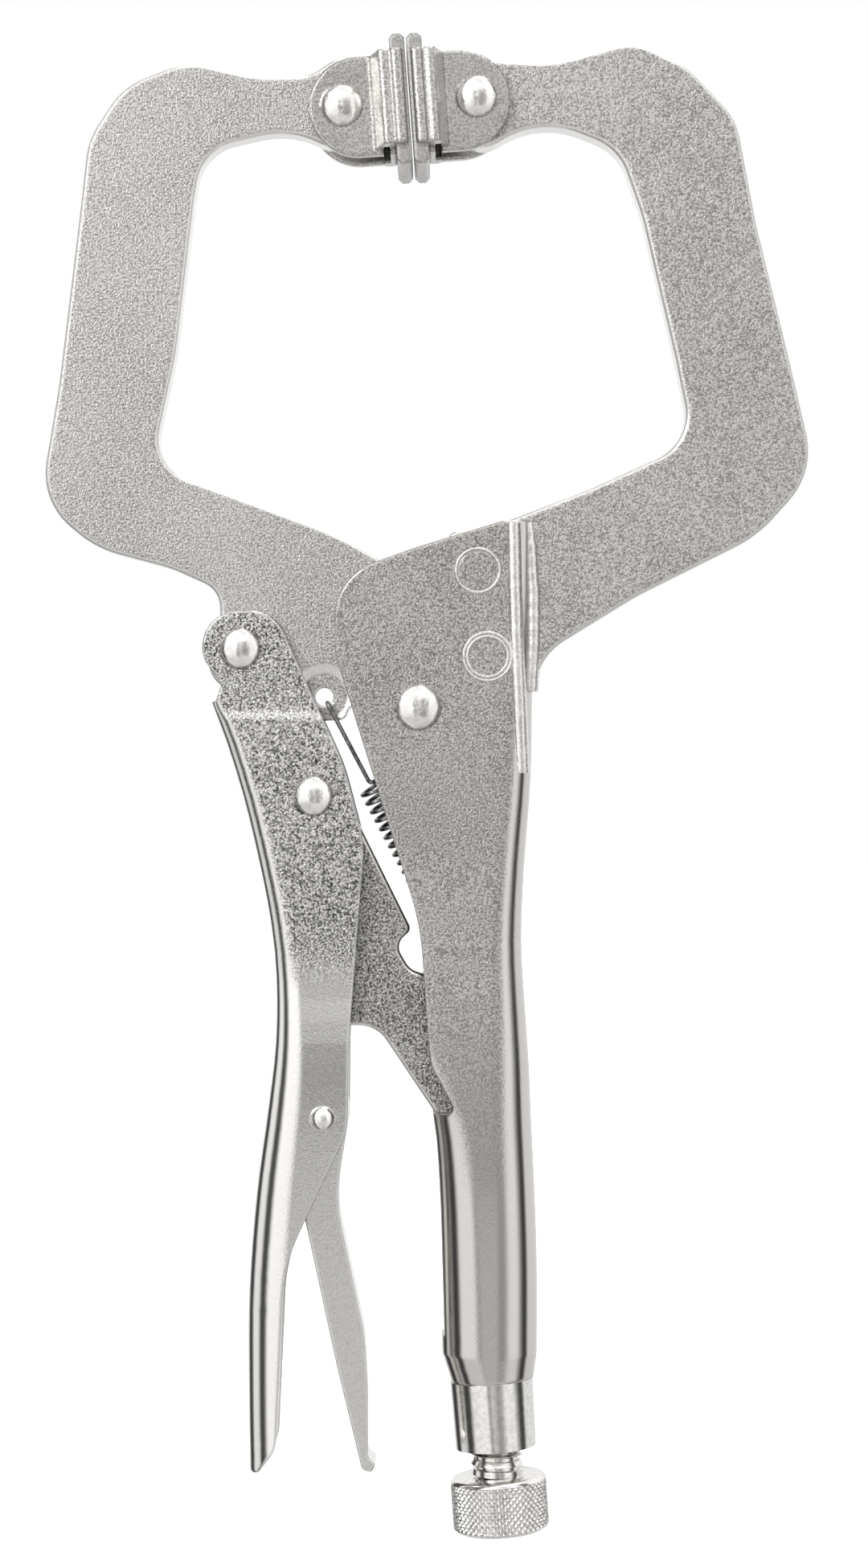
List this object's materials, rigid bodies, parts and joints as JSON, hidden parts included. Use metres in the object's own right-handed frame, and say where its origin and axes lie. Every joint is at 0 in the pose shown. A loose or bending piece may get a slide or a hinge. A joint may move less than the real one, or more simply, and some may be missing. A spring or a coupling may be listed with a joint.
{
  "type": "locking c clamp",
  "caption": "Hand clamp with two C-shaped jaws, swivel pads and an over-centre lever that locks them; a knurled screw sets the opening.",
  "frame": {"origin": "centre of the closed pads, in the middle plane of the jaws", "axes": "+X from the moving jaw to the fixed jaw, +Z from the handles towards the jaws' tips, Y across the thickness"},
  "size_m": [0.1418, 0.023, 0.2775],
  "materials": {
    "handle_steel": "satin nickel plate on formed sheet",
    "lever_steel": "bright nickel plate on peened sheet",
    "link_steel": "nickel plate on blanked steel",
    "jaw_steel": "satin nickel plate on forged steel",
    "rivet_steel": "polished nickel",
    "pad_steel": "satin nickel plate on hardened steel",
    "bracket_steel": "nickel plate on pressed sheet",
    "spring_steel": "dark spring wire",
    "screw_steel": "bright nickel on turned steel"
  },
  "bodies": {
    "fixed_frame": {"fixed_handle": "handle_steel", "fixed_jaw": "jaw_steel", "upper_jaw_rivet": "handle_steel", "lower_jaw_rivet": "handle_steel", "main_pivot_rivet": "rivet_steel", "screw_sleeve": "handle_steel", "return_spring": "spring_steel"},
    "moving_jaw": {"moving_jaw": "jaw_steel"},
    "lever_handle": {"lever_handle": "lever_steel", "lever_pivot_rivet": "rivet_steel", "link_rivet": "rivet_steel", "release_rivet": "rivet_steel"},
    "toggle_link": {"toggle_link": "link_steel"},
    "release_lever": {"release_lever": "lever_steel"},
    "fixed_pad": {"fixed_pad_plate": "pad_steel", "fixed_pad_bracket": "bracket_steel", "fixed_pad_rivet": "rivet_steel"},
    "moving_pad": {"moving_pad_plate": "pad_steel", "moving_pad_bracket": "bracket_steel", "moving_pad_rivet": "rivet_steel"},
    "adjusting_screw": {"adjusting_screw": "screw_steel"},
    "adjusting_knob": {"adjusting_knob": "screw_steel"}
  },
  "joints": [
    {"name": "jaw_swing", "type": "hinge", "parent": "fixed_frame", "child": "moving_jaw", "pos_m": [0.00135, 0, -0.1119], "axis": [0, -1, 0], "range_deg": [0, 43.7], "deforming": ["return_spring"]},
    {"name": "lever_swing", "type": "hinge", "parent": "moving_jaw", "child": "lever_handle", "pos_m": [-0.0316, 0, -0.101], "axis": [0, 1, 0], "range_deg": [0, 104]},
    {"name": "link_swing", "type": "hinge", "parent": "lever_handle", "child": "toggle_link", "pos_m": [-0.01805, 0, -0.1283], "axis": [0, -1, 0], "range_deg": [0, 90.5]},
    {"name": "release_swing", "type": "hinge", "parent": "lever_handle", "child": "release_lever", "pos_m": [-0.0162, 0, -0.1878], "axis": [0, 1, 0], "range_deg": [0, 12]},
    {"name": "fixed_pad_swivel", "type": "hinge", "parent": "fixed_frame", "child": "fixed_pad", "pos_m": [0.0123, 0, 0.0012], "axis": [0, -1, 0], "range_deg": [-6, 6]},
    {"name": "moving_pad_swivel", "type": "hinge", "parent": "moving_jaw", "child": "moving_pad", "pos_m": [-0.01285, 0, -0.0005], "axis": [0, -1, 0], "range_deg": [-6, 6]},
    {"name": "screw_advance", "type": "slide", "parent": "fixed_frame", "child": "adjusting_screw", "axis": [0.0698, 0, -0.9976], "range_m": [0, 0.0175]},
    {"name": "knob_turn", "type": "hinge", "parent": "adjusting_screw", "child": "adjusting_knob", "pos_m": [0.01624, 0, -0.25496], "axis": [0.0698, 0, -0.9976], "range_deg": [0, 3601]}
  ],
  "couplings": [
    {"joint": "jaw_swing", "follows": "lever_swing", "ratio": 0.42},
    {"joint": "link_swing", "follows": "lever_swing", "ratio": 0.87},
    {"joint": "moving_pad_swivel", "follows": "fixed_pad_swivel", "ratio": 1},
    {"joint": "knob_turn", "follows": "screw_advance", "rad_per_m": 3590.4}
  ]
}
